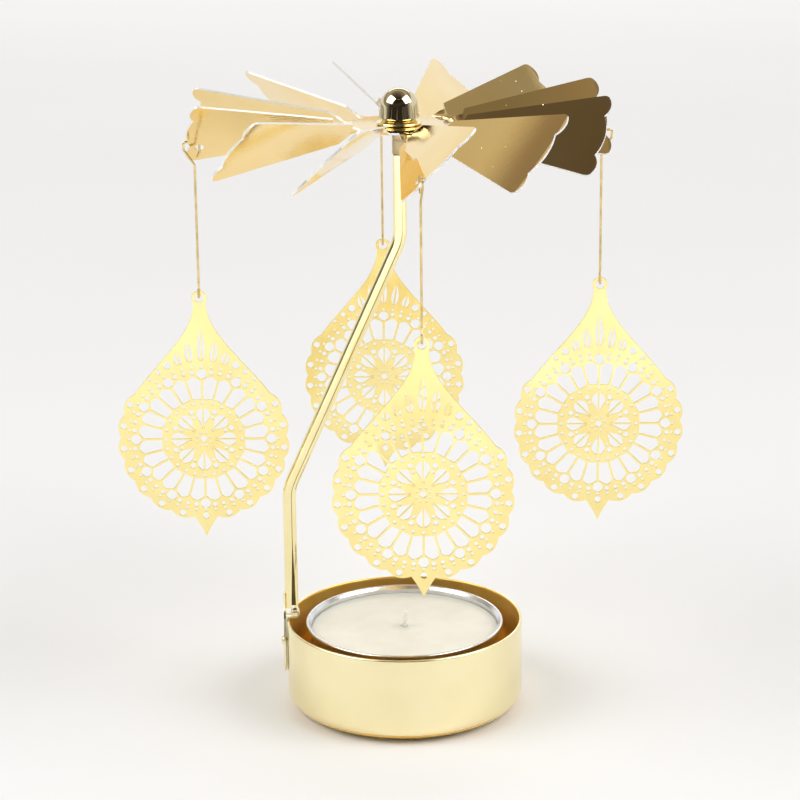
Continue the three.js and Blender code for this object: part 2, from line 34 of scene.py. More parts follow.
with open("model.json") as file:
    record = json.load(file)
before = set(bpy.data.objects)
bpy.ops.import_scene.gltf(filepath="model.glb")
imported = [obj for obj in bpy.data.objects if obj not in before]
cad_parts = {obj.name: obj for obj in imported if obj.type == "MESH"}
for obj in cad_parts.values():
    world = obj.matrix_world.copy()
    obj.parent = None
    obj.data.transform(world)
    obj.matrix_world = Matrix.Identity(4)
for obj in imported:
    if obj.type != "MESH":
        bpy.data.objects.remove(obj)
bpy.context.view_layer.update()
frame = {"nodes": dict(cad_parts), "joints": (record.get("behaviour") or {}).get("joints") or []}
joints = {joint["name"]: joint for joint in frame["joints"]}


# mesh helpers

def addObject(name, data):
    piece = bpy.data.objects.new(name, data)
    bpy.context.scene.collection.objects.link(piece)
    return piece


def addMesh(name, points, faces):
    mesh = bpy.data.meshes.new(name)
    mesh.from_pydata([tuple(p) for p in points], [], faces)
    return addObject(name, mesh)


def smooth(piece, sharpAngle):
    for face in piece.data.polygons:
        face.use_smooth = True
    piece.data.set_sharp_from_angle(angle=math.radians(sharpAngle))
    return piece


def faceOut(piece, sharpAngle=35):
    work = bmesh.new()
    work.from_mesh(piece.data)
    bmesh.ops.recalc_face_normals(work, faces=work.faces)
    work.to_mesh(piece.data)
    work.free()
    return smooth(piece, sharpAngle)


def builtMesh(piece):
    bpy.context.view_layer.update()
    seen = piece.evaluated_get(bpy.context.evaluated_depsgraph_get())
    return bpy.data.meshes.new_from_object(seen)


def applyAll(piece):
    mesh = builtMesh(piece)
    piece.modifiers.clear()
    piece.data = mesh
    return piece


def boolean(piece, tool, operation):
    change = piece.modifiers.new(operation, "BOOLEAN")
    change.operation = operation
    change.solver = "EXACT"
    change.object = tool
    applyAll(piece)
    bpy.data.objects.remove(tool)
    return piece


def arcPoints(centre, radius, start, stop, steps):
    turns = [math.radians(start + (stop - start) * i / steps) for i in range(steps + 1)]
    return [(centre[0] + radius * math.cos(t), centre[1] + radius * math.sin(t)) for t in turns]


def lathe(name, profile, steps=96, closed=False):
    rings = []
    points = []
    for radius, height in profile:
        if radius < 1e-7:
            rings.append([len(points)] * steps)
            points.append((0, 0, height))
            continue
        rings.append(list(range(len(points), len(points) + steps)))
        for i in range(steps):
            turn = 2 * math.pi * i / steps
            points.append((radius * math.cos(turn), radius * math.sin(turn), height))
    pairs = list(zip(rings, rings[1:]))
    if closed:
        pairs.append((rings[-1], rings[0]))
    faces = []
    for low, high in pairs:
        for i in range(steps):
            j = (i + 1) % steps
            corners = [low[i], low[j], high[j], high[i]]
            faces.append(tuple(dict.fromkeys(corners)))
    return faceOut(addMesh(name, points, faces))


def roundedPath(corners, radius, steps=8):
    # a polyline with every inner corner turned on an arc
    path = [corners[0].copy()]
    for before, corner, after in zip(corners, corners[1:], corners[2:]):
        back = (before - corner).normalized()
        ahead = (after - corner).normalized()
        half = back.angle(ahead) / 2
        centre = corner + (back + ahead).normalized() * radius / math.sin(half)
        start = corner + back * radius / math.tan(half) - centre
        end = corner + ahead * radius / math.tan(half) - centre
        sweepAngle = start.angle(end)
        for i in range(steps + 1):
            share = i / steps
            a = math.sin((1 - share) * sweepAngle) / math.sin(sweepAngle)
            b = math.sin(share * sweepAngle) / math.sin(sweepAngle)
            path.append(centre + start * a + end * b)
    path.append(corners[-1].copy())
    return path


def sweep(name, path, section, side, twist=0.0, endScale=(1.0, 1.0)):
    # a closed section carried along a path; side is where the section's x axis starts
    points = []
    count = len(section)
    for i, place in enumerate(path):
        ahead = (path[min(i + 1, len(path) - 1)] - path[max(i - 1, 0)]).normalized()
        side = (side - ahead * side.dot(ahead)).normalized()
        other = ahead.cross(side)
        turn = twist * i
        grow = endScale[0] if i == 0 else endScale[1] if i == len(path) - 1 else 1.0
        for x, y in section:
            u = (x * math.cos(turn) - y * math.sin(turn)) * grow
            v = (x * math.sin(turn) + y * math.cos(turn)) * grow
            points.append(place + side * u + other * v)
    faces = []
    for i in range(len(path) - 1):
        for j in range(count):
            k = (j + 1) % count
            faces.append((i * count + j, i * count + k, (i + 1) * count + k, (i + 1) * count + j))
    faces.append(tuple(range(count)))
    faces.append(tuple((len(path) - 1) * count + j for j in range(count)))
    return faceOut(addMesh(name, points, faces))


def circle(radius, sides):
    return [(radius * math.cos(2 * math.pi * i / sides), radius * math.sin(2 * math.pi * i / sides))
            for i in range(sides)]


def plateFromLoops(name, loops, thickness, bevel):
    # flat loops filled as one sheet: the first is the outline, the others are its openings
    curve = bpy.data.curves.new(name, "CURVE")
    curve.dimensions = "2D"
    curve.fill_mode = "BOTH"
    curve.extrude = thickness / 2 - bevel
    curve.bevel_depth = bevel
    curve.bevel_resolution = 1
    curve.offset = -bevel
    for loop in loops:
        spline = curve.splines.new("POLY")
        spline.points.add(len(loop) - 1)
        for point, (x, y) in zip(spline.points, loop):
            point.co = (x, y, 0, 1)
        spline.use_cyclic_u = True
    flat = addObject(name + "_outline", curve)
    mesh = builtMesh(flat)
    bpy.data.objects.remove(flat)
    piece = addObject(name, mesh)
    work = bmesh.new()
    work.from_mesh(mesh)
    bmesh.ops.remove_doubles(work, verts=work.verts, dist=1e-7)
    work.to_mesh(mesh)
    work.free()
    faceOut(piece, 40)
    for face in mesh.polygons:
        face.use_smooth = abs(face.normal.z) < 0.99
    return piece


# materials

def newMaterial(name):
    material = bpy.data.materials.new(name)
    material.use_nodes = True
    tree = material.node_tree
    return material, tree.nodes, tree.links, tree.nodes["Principled BSDF"]


def placeNode(nodes, links, scale):
    where = nodes.new("ShaderNodeTexCoord")
    mapping = nodes.new("ShaderNodeMapping")
    mapping.inputs["Scale"].default_value = scale
    links.new(where.outputs["Object"], mapping.inputs["Vector"])
    return mapping.outputs["Vector"]


def noiseNode(nodes, links, place, scale, detail=3.0):
    grain = nodes.new("ShaderNodeTexNoise")
    grain.inputs["Scale"].default_value = scale
    grain.inputs["Detail"].default_value = detail
    links.new(place, grain.inputs["Vector"])
    return grain.outputs["Fac"]


def rampNode(nodes, links, value, stops):
    ramp = nodes.new("ShaderNodeValToRGB")
    while len(ramp.color_ramp.elements) < len(stops):
        ramp.color_ramp.elements.new(0.5)
    for element, (position, color) in zip(ramp.color_ramp.elements, stops):
        element.position = position
        element.color = (*color, 1)
    links.new(value, ramp.inputs["Fac"])
    return ramp.outputs["Color"]


def blendNode(nodes, links, value, look):
    # most of a noise lies between these two stops
    return rampNode(nodes, links, value, [(0.3, look["dark"]), (0.7, look["light"])])


def rangeNode(nodes, links, value, low, high):
    spread = nodes.new("ShaderNodeMapRange")
    spread.inputs["To Min"].default_value = low
    spread.inputs["To Max"].default_value = high
    links.new(value, spread.inputs["Value"])
    return spread.outputs["Result"]


def bumpNode(nodes, links, height, strength, distance, below=None, invert=False):
    bump = nodes.new("ShaderNodeBump")
    bump.invert = invert
    bump.inputs["Strength"].default_value = strength
    bump.inputs["Distance"].default_value = distance
    links.new(height, bump.inputs["Height"])
    if below is not None:
        links.new(below, bump.inputs["Normal"])
    return bump.outputs["Normal"]


def droopNode(nodes, links, start, end):
    # how far a point lies past a radius from the turning axis, as a squared share of the way to the end
    where = nodes.new("ShaderNodeTexCoord")
    flat = nodes.new("ShaderNodeVectorMath")
    flat.operation = "MULTIPLY"
    flat.inputs[1].default_value = (1, 1, 0)
    links.new(where.outputs["Object"], flat.inputs[0])
    reach = nodes.new("ShaderNodeVectorMath")
    reach.operation = "LENGTH"
    links.new(flat.outputs["Vector"], reach.inputs[0])
    share = nodes.new("ShaderNodeMapRange")
    share.inputs["From Min"].default_value = start
    share.inputs["From Max"].default_value = end
    links.new(reach.outputs["Value"], share.inputs["Value"])
    square = nodes.new("ShaderNodeMath")
    square.operation = "POWER"
    square.inputs[1].default_value = 2
    links.new(share.outputs["Result"], square.inputs[0])
    return square.outputs["Value"]


def glowInside(shader, look):
    # light that enters and comes out again nearby
    shader.inputs["Subsurface Weight"].default_value = look["glow"]
    shader.inputs["Subsurface Radius"].default_value = look["glowRadius"]
    shader.inputs["Subsurface Scale"].default_value = mm


plainMetal = {"metallic": 1.0, "lacquer": 0.0, "lacquerRoughness": 0.05, "lineStretch": (1, 1, 1),
              "lineBump": 0.2, "lineDepth": 0.02 * mm, "waveBump": 0.05, "waveDepth": 0.3 * mm}


def metal(name, finish):
    # plated sheet: colour drifts a little, polish lines and a fine grain break the mirror
    look = {**plainMetal, **finish}
    material, nodes, links, shader = newMaterial(name)
    even = placeNode(nodes, links, (1, 1, 1))
    drift = noiseNode(nodes, links, even, look["driftScale"])
    links.new(blendNode(nodes, links, drift, look), shader.inputs["Base Color"])
    grain = noiseNode(nodes, links, even, look["grainScale"], 2.0)
    links.new(rangeNode(nodes, links, grain, *look["roughness"]), shader.inputs["Roughness"])
    streaked = placeNode(nodes, links, look["lineStretch"])
    lines = noiseNode(nodes, links, streaked, look["lineScale"], 2.0)
    normal = bumpNode(nodes, links, lines, look["lineBump"], look["lineDepth"])
    waves = noiseNode(nodes, links, even, look["waveScale"], 1.0)
    normal = bumpNode(nodes, links, waves, look["waveBump"], look["waveDepth"], normal)
    if "droop" in look:  # shaded as if the sheet hung a little at its edge
        fall = droopNode(nodes, links, look["droopStart"], look["droopEnd"])
        normal = bumpNode(nodes, links, fall, 1.0, look["droop"], normal, True)
    if "speckle" in look:
        specks = noiseNode(nodes, links, even, look["speckleScale"], 1.0)
        normal = bumpNode(nodes, links, specks, look["speckle"], look["speckleDepth"], normal)
    if "dents" in look:  # sparse handling marks that catch the light
        cells = nodes.new("ShaderNodeTexVoronoi")
        cells.inputs["Scale"].default_value = look["dents"]
        links.new(even, cells.inputs["Vector"])
        stops = [(0.0, (1, 1, 1)), (look["dentReach"], (0, 0, 0))]
        pits = rampNode(nodes, links, cells.outputs["Distance"], stops)
        normal = bumpNode(nodes, links, pits, 1.0, look["dentDepth"], normal)
    links.new(normal, shader.inputs["Normal"])
    shader.inputs["Metallic"].default_value = look["metallic"]
    shader.inputs["Coat Weight"].default_value = look["lacquer"]
    shader.inputs["Coat Roughness"].default_value = look["lacquerRoughness"]
    return material


cupGold = metal("cup_gold", {
    "dark": (0.95, 0.84, 0.51), "light": (0.99, 0.89, 0.56), "driftScale": 120, "grainScale": 2600,
    "roughness": (0.16, 0.26), "lineStretch": (1, 1, 40), "lineScale": 120, "lineBump": 0.25,
    "waveScale": 90, "waveBump": 0.06})
# the inside of the cup is the same plated gold as the outside, coloured deeper and browner as painted shade
# and painted gold inter-reflection
cupInsidePaintedShade = metal("cup_inside_painted_shade", {
    "dark": (0.97, 0.56, 0.10), "light": (1.0, 0.68, 0.18), "driftScale": 260, "grainScale": 2600,
    "roughness": (0.14, 0.24), "lineStretch": (1, 1, 40), "lineScale": 160, "lineBump": 0.3,
    "waveScale": 120, "waveBump": 0.1, "metallic": 0.6})
foldedStrip = {"driftScale": 200, "grainScale": 3000, "lineStretch": (40, 40, 1), "lineScale": 100,
               "waveScale": 140, "waveBump": 0.08}
stemGold = metal("stem_gold", {
    **foldedStrip, "dark": (0.94, 0.82, 0.44), "light": (0.98, 0.87, 0.50), "roughness": (0.06, 0.12),
    "metallic": 0.95})
clipGold = metal("clip_gold", {
    **foldedStrip, "dark": (0.95, 0.84, 0.48), "light": (0.99, 0.89, 0.55), "roughness": (0.08, 0.16),
    "metallic": 0.5})
# painted shade: a near-black gold for the inside of the stem's tight fold, standing in for the shadow that
# falls there
foldPaintedShade = metal("fold_painted_shade", {
    **foldedStrip, "dark": (0.17, 0.12, 0.05), "light": (0.27, 0.20, 0.08), "roughness": (0.35, 0.50),
    "driftScale": 400, "grainScale": 4000})
fanGold = metal("fan_gold", {
    "dark": (0.93, 0.68, 0.28), "light": (0.98, 0.76, 0.36), "driftScale": 80, "grainScale": 5200,
    "roughness": (0.03, 0.09), "lineStretch": (1, 30, 30), "lineScale": 70, "lineBump": 1.0,
    "lineDepth": 0.007 * mm, "waveScale": 30, "waveBump": 1.0, "waveDepth": 0.9 * mm,
    "speckleScale": 3400, "speckle": 0.3, "speckleDepth": 0.02 * mm, "lacquer": 0.25,
    "droop": 1.0 * mm, "droopStart": 22 * mm, "droopEnd": 39 * mm,
    "dents": 350, "dentReach": 0.07, "dentDepth": 0.05 * mm})
cutEdge = metal("cut_edge", {
    "dark": (0.84, 0.84, 0.83), "light": (0.93, 0.93, 0.92), "driftScale": 900, "grainScale": 6000,
    "roughness": (0.30, 0.45), "lineScale": 6000, "waveScale": 800, "metallic": 0.35})
ballGold = metal("ball_gold", {
    "dark": (0.66, 0.57, 0.36), "light": (0.73, 0.63, 0.42), "driftScale": 300, "grainScale": 4000,
    "roughness": (0.04, 0.08), "lineScale": 3000, "lineBump": 0.03, "waveScale": 250, "waveBump": 0.02})
openworkGold = metal("openwork_gold", {
    "dark": (0.96, 0.79, 0.33), "light": (1.0, 0.86, 0.40), "driftScale": 150, "grainScale": 5200,
    "roughness": (0.14, 0.26), "lineScale": 3600, "lineBump": 0.15, "waveScale": 42, "waveBump": 0.8,
    "waveDepth": 2.0 * mm})
wireGold = metal("wire_gold", {
    "dark": (0.52, 0.38, 0.15), "light": (0.76, 0.58, 0.27), "driftScale": 700, "grainScale": 5000,
    "roughness": (0.18, 0.30), "lineStretch": (30, 30, 1), "lineScale": 400, "waveScale": 500})
greySteel = metal("grey_steel", {
    "dark": (0.47, 0.37, 0.21), "light": (0.59, 0.47, 0.29), "driftScale": 500, "grainScale": 5000,
    "roughness": (0.28, 0.42), "lineStretch": (1, 1, 40), "lineScale": 500, "lineBump": 0.3,
    "waveScale": 500})
tinAluminium = metal("tin_aluminium", {
    "dark": (0.68, 0.68, 0.69), "light": (0.82, 0.82, 0.83), "driftScale": 200, "grainScale": 4000,
    "roughness": (0.16, 0.30), "lineStretch": (1, 1, 30), "lineScale": 300, "lineBump": 0.3,
    "waveScale": 300, "waveBump": 0.25})


waxLook = {"dark": (0.78, 0.74, 0.64), "light": (0.84, 0.81, 0.72), "cloudScale": 160, "cloudDetail": 4.0,
           "grainScale": 1800, "roughness": (0.38, 0.55), "bump": 0.12, "bumpDepth": 0.1 * mm,
           "glow": 0.6, "glowRadius": (3.0, 2.2, 1.4)}


def makeWaxMaterial(look):
    material, nodes, links, shader = newMaterial("candle_wax")
    even = placeNode(nodes, links, (1, 1, 1))
    cloud = noiseNode(nodes, links, even, look["cloudScale"], look["cloudDetail"])
    links.new(blendNode(nodes, links, cloud, look), shader.inputs["Base Color"])
    grain = noiseNode(nodes, links, even, look["grainScale"])
    links.new(rangeNode(nodes, links, grain, *look["roughness"]), shader.inputs["Roughness"])
    links.new(bumpNode(nodes, links, grain, look["bump"], look["bumpDepth"]), shader.inputs["Normal"])
    glowInside(shader, look)
    return material


# the wick is soaked in wax
cottonLook = {"dark": (0.93, 0.89, 0.70), "light": (0.98, 0.96, 0.82), "stretch": (3, 3, 1),
              "strandScale": 1500, "roughness": (0.55, 0.85), "bump": 0.5, "bumpDepth": 0.1 * mm,
              "glow": 0.8, "glowRadius": (3.0, 2.6, 1.8)}


def makeCottonMaterial(look):
    material, nodes, links, shader = newMaterial("wick_cotton")
    strands = noiseNode(nodes, links, placeNode(nodes, links, look["stretch"]), look["strandScale"])
    links.new(blendNode(nodes, links, strands, look), shader.inputs["Base Color"])
    links.new(rangeNode(nodes, links, strands, *look["roughness"]), shader.inputs["Roughness"])
    links.new(bumpNode(nodes, links, strands, look["bump"], look["bumpDepth"]), shader.inputs["Normal"])
    glowInside(shader, look)
    return material


floorLook = {"dark": (0.86, 0.86, 0.87), "light": (0.875, 0.875, 0.88), "softScale": 6, "softDetail": 2.0,
             "roughness": 0.75}


def makeFloorMaterial(look):
    material, nodes, links, shader = newMaterial("floor_white")
    even = placeNode(nodes, links, (1, 1, 1))
    soft = noiseNode(nodes, links, even, look["softScale"], look["softDetail"])
    links.new(blendNode(nodes, links, soft, look), shader.inputs["Base Color"])
    shader.inputs["Roughness"].default_value = look["roughness"]
    return material


candleWax = makeWaxMaterial(waxLook)
wickCotton = makeCottonMaterial(cottonLook)
floorWhite = makeFloorMaterial(floorLook)
print("materials:", len(bpy.data.materials))


def dress(piece, finishes, body, node):
    # a piece of several finishes brings its own
    for finish in finishes:
        piece.data.materials.append(finish)
    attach(piece, body)
    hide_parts(node)


def coat(node, finish):
    # a solid that is shown as it is
    piece = frame["nodes"][node]
    piece.data.materials.clear()
    piece.data.materials.append(finish)


# camera, floor and light

cameraSetup = {"place": (4.2 * mm, -479.0 * mm, 205.0 * mm), "yaw": -0.0096, "pitch": 0.2906,
               "roll": -0.0111, "lens": 117.66, "sensor": 36, "near": 0.01}


def makeCamera(setup):
    yaw, pitch, roll = setup["yaw"], setup["pitch"], setup["roll"]
    ahead = Vector((math.sin(yaw) * math.cos(pitch), math.cos(yaw) * math.cos(pitch), -math.sin(pitch)))
    level = ahead.cross(Vector((0, 0, 1))).normalized()
    upright = level.cross(ahead)
    right = level * math.cos(roll) + upright * math.sin(roll)
    up = upright * math.cos(roll) - level * math.sin(roll)
    lens = bpy.data.cameras.new("view")
    lens.lens = setup["lens"]
    lens.sensor_width = setup["sensor"]
    lens.clip_start = setup["near"]
    view = addObject("view", lens)
    turn = Matrix((right, up, -ahead)).transposed().to_4x4()
    view.matrix_world = Matrix.Translation(Vector(setup["place"])) @ turn
    bpy.context.scene.camera = view


floorSetup = {"size": 8.0}


def makeFloor(setup):
    half = setup["size"] / 2
    floor = addMesh("floor", [(-half, -half, 0), (half, -half, 0), (half, half, 0), (-half, half, 0)],
                    [(0, 1, 2, 3)])
    floor.data.materials.append(floorWhite)


lightColor = (0.97, 0.985, 1.0)
lightSetup = [
    {"name": "left_box", "place": (-1.0, -0.42, 1.05), "aim": (0, 0, 0), "size": (1.2, 1.0), "spread": 180,
     "power": 14},
    {"name": "right_box", "place": (1.0, -0.42, 1.05), "aim": (0, 0, 0), "size": (1.2, 1.0), "spread": 180,
     "power": 14},
    {"name": "far_box", "place": (0, 1.5, 1.0), "aim": (0, 1.2, 0), "size": (1.6, 0.4), "spread": 110,
     "power": 3.9},
    {"name": "near_box", "place": (0, -0.9, 0.9), "aim": (0, -0.91, 0), "size": (1.6, 0.6), "spread": 80,
     "power": 7},
]


def makeLights(setup):
    for row in setup:
        lamp = bpy.data.lights.new(row["name"], "AREA")
        lamp.shape = "RECTANGLE"
        lamp.size, lamp.size_y = row["size"]
        lamp.energy = row["power"]
        lamp.spread = math.radians(row["spread"])
        lamp.color = lightColor
        holder = addObject(row["name"], lamp)
        holder.location = row["place"]
        aim = Vector(row["aim"]) - Vector(row["place"])
        holder.rotation_euler = aim.to_track_quat("-Z", "Y").to_euler()


skySetup = {"pole": (-0.2, -0.3, 0.93),
            "height": [(0.0, (0.95, 0.95, 0.95)), (0.60, (0.95, 0.95, 0.95)), (0.64, (0.33, 0.31, 0.27)),
                       (0.74, (0.34, 0.31, 0.26)), (0.79, (0.56, 0.51, 0.42)), (0.82, (0.62, 0.555, 0.45)),
                       (0.87, (0.30, 0.24, 0.18)), (0.93, (0.23, 0.20, 0.16)), (0.98, (0.11, 0.09, 0.075))],
            "depth": [(0.20, (0.10, 0.09, 0.08)), (0.45, (1.0, 1.0, 1.0))]}


def makeSky(setup):
    # bright low down, stepped towards a dark pole overhead, and dim behind the camera
    world = bpy.data.worlds.new("studio")
    bpy.context.scene.world = world
    world.use_nodes = True
    nodes, links = world.node_tree.nodes, world.node_tree.links
    where = nodes.new("ShaderNodeTexCoord")
    tones = []
    for axis, stops in ((setup["pole"], setup["height"]), ((0, 1, 0), setup["depth"])):
        along = nodes.new("ShaderNodeVectorMath")
        along.operation = "DOT_PRODUCT"
        along.inputs[1].default_value = axis
        links.new(where.outputs["Generated"], along.inputs[0])
        spread = nodes.new("ShaderNodeMapRange")
        spread.inputs["From Min"].default_value = -1
        links.new(along.outputs["Value"], spread.inputs["Value"])
        tones.append(rampNode(nodes, links, spread.outputs["Result"], stops))
    both = nodes.new("ShaderNodeVectorMath")
    both.operation = "MULTIPLY"
    links.new(tones[0], both.inputs[0])
    links.new(tones[1], both.inputs[1])
    links.new(both.outputs["Vector"], nodes["Background"].inputs["Color"])


makeCamera(cameraSetup)
makeFloor(floorSetup)
makeLights(lightSetup)
makeSky(skySetup)
bpy.context.scene.view_settings.view_transform = "Standard"
print("camera, floor and lights in place")


# base cup

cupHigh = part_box("base_cup")[1]
cup = {"radius": cupHigh.x, "rim": cupHigh.z, "wall": 0.6 * mm, "corner": 3 * mm, "foot": 0.6 * mm,
       "footRadius": 1.5 * mm, "footFlare": 0.7 * mm, "footInset": 5.2 * mm, "footStart": 258,
       "footCount": 3, "footEdge": 0.15 * mm, "footEdgeHigh": 0.06 * mm, "footTop": 0.1 * mm}


def makeCup(c):
    inside = c["radius"] - c["wall"]
    bend = (c["radius"] - c["corner"], c["foot"] + c["corner"])
    lip = c["wall"] / 2
    profile = [(0, c["foot"]), (bend[0] / 2, c["foot"])]
    profile += arcPoints(bend, c["corner"], -90, 0, 14)
    profile += [(c["radius"], c["rim"] * share) for share in (0.35, 0.55, 0.75)]
    profile += arcPoints((c["radius"] - lip, c["rim"] - lip), lip, 0, 180, 8)
    profile += [(inside, c["rim"] * share) for share in (0.75, 0.55, 0.35)]
    profile += arcPoints(bend, c["corner"] - c["wall"], 0, -90, 10)
    profile += [(bend[0] / 2, c["foot"] + c["wall"]), (0, c["foot"] + c["wall"])]
    shell = lathe("base_cup_shell", profile, 160)
    root = c["footRadius"] + c["footFlare"]
    seat = c["foot"] + c["wall"] / 2
    side = [(c["footRadius"] + c["footEdge"], c["footEdgeHigh"]), (root - c["footTop"], c["foot"] * 0.8)]
    pipProfile = [(0, 0), (c["footRadius"], 0), *side, (root, c["foot"]), (root, seat), (0, seat)]
    for i in range(c["footCount"]):
        turn = math.radians(c["footStart"] + 360 * i / c["footCount"])
        pip = lathe("pip", pipProfile, 32)
        reach = c["radius"] - c["footInset"]
        pip.data.transform(Matrix.Translation((reach * math.cos(turn), reach * math.sin(turn), 0)))
        boolean(shell, pip, "UNION")
    shell.name = "cup"
    shell.data.materials.append(cupGold)
    shell.data.materials.append(cupInsidePaintedShade)
    # faces inside the cup take the painted shade and painted reflection of its inner wall
    for face in shell.data.polygons:
        reach = math.hypot(face.center.x, face.center.y)
        face.material_index = int(reach < inside + lip / 2 and face.center.z > c["foot"] + lip)
    return faceOut(shell)


dress(makeCup(cup), [], "base", "base_cup")


# stem with its clip, rivet, ferrule and needle

stemLow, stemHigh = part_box("stem")
stem = {"width": 2.5 * mm, "depth": 2.2 * mm, "wall": 0.45 * mm, "corner": 0.7 * mm, "seam": 0.06 * mm,
        "seamOffset": 0.42 * mm, "lip": 0.08 * mm, "spread": 0.95 * mm, "spreadHigh": 15 * mm,
        "legX": 1.0 * mm - cup["radius"], "legFoot": cup["rim"] + 2.25 * mm,
        "lowerBend": cup["rim"] + 26.75 * mm, "upperBend": stemHigh.z - 16 * mm, "top": stemHigh.z,
        "bend": 9 * mm}
clip = {"width": 5 * mm, "neck": 2 * mm, "sheet": 0.45 * mm, "bevel": 0.08 * mm, "lap": 3 * mm,
        "nearX": stemLow.x, "foot": stemLow.z, "gap": 0.1 * mm, "curlX": 1.6 * mm - cup["radius"],
        "curl": 0.7 * mm, "curlTurn": 250}


def roundedCorners(a, b, r, steps):
    loop = []
    for x, y, start in ((a - r, b - r, 0), (r - a, b - r, 90), (r - a, r - b, 180), (a - r, r - b, 270)):
        loop += arcPoints((x, y), r, start, start + 90, steps)
    return loop


def channelSection(s):
    a, b, r = s["depth"] / 2, s["width"] / 2, s["corner"]
    w, lip = s["wall"], s["lip"]
    low, high = s["seamOffset"] - s["seam"] / 2, s["seamOffset"] + s["seam"] / 2
    outer = arcPoints((a - lip, high + lip), lip, -90, -30, 2)
    outer += roundedCorners(a, b, r, 5)
    outer += arcPoints((a - lip, low - lip), lip, 30, 90, 2)
    inner = [(a - w, low), (a - w, w - b), (w - a, w - b), (w - a, b - w), (a - w, b - w), (a - w, high)]
    return outer + inner


def makeTongue(c):
    # plate on the cup's side, narrowed at the rim to a strip that laps the leg
    half, neck = c["width"] / 2, c["neck"] / 2
    rim, top = cup["rim"], stem["legFoot"] + c["lap"]
    loop = arcPoints((0, c["foot"] + half), half, 180, 360, 24)
    loop += [(half, rim - half), (neck, rim), (neck, top), (-neck, top), (-neck, rim), (-half, rim - half)]
    plate = plateFromLoops("tongue", [loop], c["sheet"], c["bevel"])
    upright = Matrix.Rotation(math.pi / 2, 4, "Z") @ Matrix.Rotation(math.pi / 2, 4, "X")
    plate.data.transform(Matrix.Translation((c["nearX"] + c["sheet"] / 2, 0, 0)) @ upright)
    return plate


def makeHook(c):
    # tab bent in over the rim, with its end rolled up
    a, b, r = c["sheet"] / 2, c["neck"] / 2, c["bevel"]
    section = roundedCorners(a, b, r, 3)
    level = cup["rim"] + c["gap"] + a
    path = [Vector((c["nearX"] + a + (c["curlX"] - c["nearX"] - a) * i / 6, 0, level)) for i in range(6)]
    for x, z in arcPoints((c["curlX"], level + c["curl"]), c["curl"], -90, c["curlTurn"] - 90, 28):
        path.append(Vector((x, 0, z)))
    return sweep("hook", path, section, Vector((0, 0, 1)))


def makeSpread(s):
    # wedge that opens the seam towards the foot of the leg
    middle, half = s["legX"] + s["seamOffset"], s["spread"] / 2
    low, high = s["legFoot"] - s["wall"], s["legFoot"] + s["spreadHigh"]
    points = []
    for y in (-s["depth"], s["wall"] * 1.5 - s["depth"] / 2):
        points += [(middle - half, y, low), (middle + half, y, low), (middle, y, high)]
    faces = [(0, 1, 2), (5, 4, 3), (0, 3, 4, 1), (1, 4, 5, 2), (2, 5, 3, 0)]
    return faceOut(addMesh("spread", points, faces))


def makeStem(s):
    corners = [Vector((s["legX"], 0, s["legFoot"])), Vector((s["legX"], 0, s["lowerBend"])),
               Vector((0, 0, s["upperBend"])), Vector((0, 0, s["top"]))]
    strip = sweep("stem_strip", roundedPath(corners, s["bend"], 10), channelSection(s), Vector((0, -1, 0)))
    boolean(strip, makeSpread(s), "DIFFERENCE")
    boolean(strip, makeTongue(clip), "UNION")
    boolean(strip, makeHook(clip), "UNION")
    strip.name = "bent_stem"
    for finish in (stemGold, clipGold, foldPaintedShade):
        strip.data.materials.append(finish)
    halfY, halfX = s["depth"] / 2 - s["wall"] / 2, s["width"] / 2 - s["wall"] / 2
    for face in strip.data.polygons:
        x, y, z = face.center
        # the inner faces of the fold along the leg take the dark painted shade of the fold
        inFold = abs(y) < halfY and abs(x - s["legX"]) < halfX
        inLeg = inFold and s["legFoot"] < z < s["lowerBend"]
        face.material_index = 2 if inLeg else int(z < s["legFoot"] - s["wall"])
    return faceOut(strip)


dress(makeStem(stem), [], "base", "stem")

rivetLow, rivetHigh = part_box("stem_rivet")
rivet = {"radius": 1 * mm, "shank": 0.5 * mm, "head": 0.55 * mm, "outer": rivetLow.x, "inner": rivetHigh.x}


def makeRivet(r):
    length = r["inner"] - r["outer"]
    dome = [(r["radius"] * math.cos(math.radians(t)), r["head"] * (1 - math.sin(math.radians(t))))
            for t in range(90, -1, -10)]
    far = [(radius, length - height) for radius, height in reversed(dome)]
    profile = dome + [(r["shank"], r["head"]), (r["shank"], length - r["head"])] + far
    piece = lathe("clip_rivet", profile, 40)
    height = (rivetLow.z + rivetHigh.z) / 2
    piece.data.transform(Matrix.Translation((r["outer"], 0, height)) @ Matrix.Rotation(math.pi / 2, 4, "Y"))
    return faceOut(piece)


dress(makeRivet(rivet), [stemGold], "base", "stem_rivet")

ferruleLow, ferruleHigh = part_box("ferrule")
ferrule = {"radius": ferruleHigh.x, "bore": 0.65 * mm, "bottom": ferruleLow.z, "top": ferruleHigh.z,
           "chamfer": 0.18 * mm, "groove": 0.08 * mm, "grooveAt": 0.72}


def makeFerrule(f):
    r, c, g = f["radius"], f["chamfer"], f["groove"]
    low, high = f["bottom"], f["top"]
    waist = low + (high - low) * f["grooveAt"]
    profile = [(f["bore"], low), (r - c, low), (r, low + c), (r, waist - 2 * g), (r - g, waist - g),
               (r - g, waist + g), (r, waist + 2 * g), (r, high - c), (r - c, high), (f["bore"], high)]
    return lathe("stem_ferrule", profile, 64, closed=True)


dress(makeFerrule(ferrule), [greySteel], "base", "ferrule")
coat("pivot_needle", greySteel)
print("cup, stem and pivot made")


# tealight

tinLow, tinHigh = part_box("tealight_cup")
waxLow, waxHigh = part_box("tealight_wax")
wickLow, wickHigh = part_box("tealight_wick")
tealight = {"radius": tinHigh.x, "bottom": tinLow.z, "rim": tinHigh.z, "flare": 0.7 * mm, "wall": 0.25 * mm,
            "bead": 0.32 * mm, "foot": 1.2 * mm, "ribs": 3, "ribDepth": 0.12 * mm, "dome": 0.4 * mm,
            "domeReach": 0.55, "domeFoot": 0.62, "floor": 0.5 * mm}


